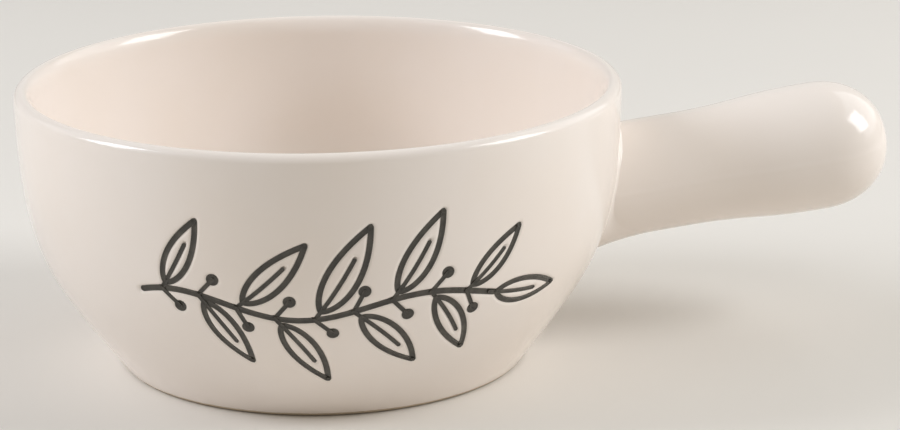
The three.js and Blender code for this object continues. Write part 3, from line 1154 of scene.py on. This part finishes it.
class SOUPBOWL_OT_stage(Operator):
    """Set table, lamps, room light and camera"""

    bl_idname = "soup_bowl.stage"
    bl_label = "Set the stage"

    def execute(self, context):
        scene = context.scene
        stage = scene.soup_bowl.stage
        scene.view_settings.view_transform = "Standard"
        scene.camera = self.camera(stage)
        self.set_table(stage)
        scene.world = self.room(stage)
        for name, (bearing, elevation, size, shade) in LAMPS.items():
            self.set_lamp(name, getattr(stage, name), bearing, elevation, size, shade)
        return {"FINISHED"}

    def camera(self, stage):
        """Camera at the photograph's place, taken for an image of 900 by 430."""
        pan, pitch, roll = stage.pan, stage.pitch, stage.roll
        forward = Vector((sin(pan) * cos(pitch), cos(pan) * cos(pitch), -sin(pitch)))
        right = Vector((cos(pan), -sin(pan), 0))
        up = right.cross(forward)
        side = right * cos(roll) + up * sin(roll)
        top = up * cos(roll) - right * sin(roll)
        camera = bpy.data.cameras.new("camera")
        camera.lens = stage.lens
        camera.sensor_width = SENSOR_WIDTH
        camera.clip_start = NEAREST
        holder = placed("camera", camera)
        turn = Matrix((side, top, -forward)).transposed().to_4x4()
        holder.matrix_world = Matrix.Translation(stage.camera_place) @ turn
        return holder

    def set_table(self, stage):
        """Wide pale table under the bowl."""
        work = bmesh.new()
        bmesh.ops.create_circle(work, cap_ends=True, segments=TABLE_EDGES, radius=TABLE_RADIUS)
        mesh = bpy.data.meshes.new("table")
        work.to_mesh(mesh)
        work.free()
        table = placed("table", mesh)
        material, shader, place = new_material("table_paper")
        tone = mixed(noise(place, "cloud"), stage.table, scaled(stage.table, TABLE_DARK))
        feed(shader, {"Base Color": tone, "Roughness": TABLE_ROUGHNESS, "Specular IOR Level": TABLE_SHEEN})
        mesh.materials.append(material)

    def room(self, stage):
        """Even light from all sides. The camera and reflections in the glaze see the backdrop instead."""
        world = bpy.data.worlds.new("room")
        world.use_nodes = True
        path = Wire(world.node_tree).node("ShaderNodeLightPath", output="Is Camera Ray")
        seen = (path + path.out("Is Glossy Ray") + path.out("Is Transmission Ray")).maths("MINIMUM", 1.0)
        shade = mixed(seen, scaled(stage.room, stage.room_strength), stage.backdrop)
        feed(world.node_tree.nodes["Background"], {"Color": shade})
        return world

    def set_lamp(self, name, watts, bearing, elevation, size, shade):
        """Soft box that looks at the bowl, its bearing counted from the camera's side."""
        lamp = bpy.data.lights.new(name, "AREA")
        lamp.shape = "RECTANGLE"
        lamp.size, lamp.size_y = size
        lamp.energy = watts
        lamp.color = shade
        turn, rise = radians(bearing + CAMERA_SIDE), radians(elevation)
        away = Vector((sin(turn) * cos(rise), -cos(turn) * cos(rise), sin(rise)))
        holder = placed(name, lamp)
        holder.location = LAMP_TARGET + away * LAMP_DISTANCE
        holder.rotation_euler = away.to_track_quat("Z", "Y").to_euler()


class SOUPBOWL_PT_panel(Panel):
    """Sizes and colours of the soup bowl, and the steps that make it"""

    bl_label = "Soup bowl"
    bl_idname = "SOUPBOWL_PT_panel"
    bl_space_type = "VIEW_3D"
    bl_region_type = "UI"
    bl_category = "Soup bowl"

    def draw(self, context):
        settings = context.scene.soup_bowl
        for group in ("bowl", "handle", "slip", "vine", "finish", "stage"):
            box = self.layout.box()
            box.label(text=group.capitalize())
            sizes = getattr(settings, group)
            for name in sizes.__annotations__:
                box.prop(sizes, name)
        for step in STEPS:
            self.layout.operator(step.bl_idname)


STEPS = (SOUPBOWL_OT_bowl, SOUPBOWL_OT_inlay, SOUPBOWL_OT_handle, SOUPBOWL_OT_slip, SOUPBOWL_OT_stage)
CLASSES = (
    BowlSizes, HandleSizes, SlipSizes, VineSizes, Finish, StageSizes, SoupBowl, *STEPS, SOUPBOWL_PT_panel,
)


def register():
    for kind in CLASSES:
        bpy.utils.register_class(kind)
    bpy.types.Scene.soup_bowl = PointerProperty(type=SoupBowl)


def unregister():
    del bpy.types.Scene.soup_bowl
    for kind in reversed(CLASSES):
        bpy.utils.unregister_class(kind)


def main():
    register()
    bpy.ops.soup_bowl.bowl()
    bpy.ops.soup_bowl.inlay()
    bpy.ops.soup_bowl.handle()
    bpy.ops.soup_bowl.slip()
    bpy.ops.soup_bowl.stage()


if __name__ == "__main__":
    main()
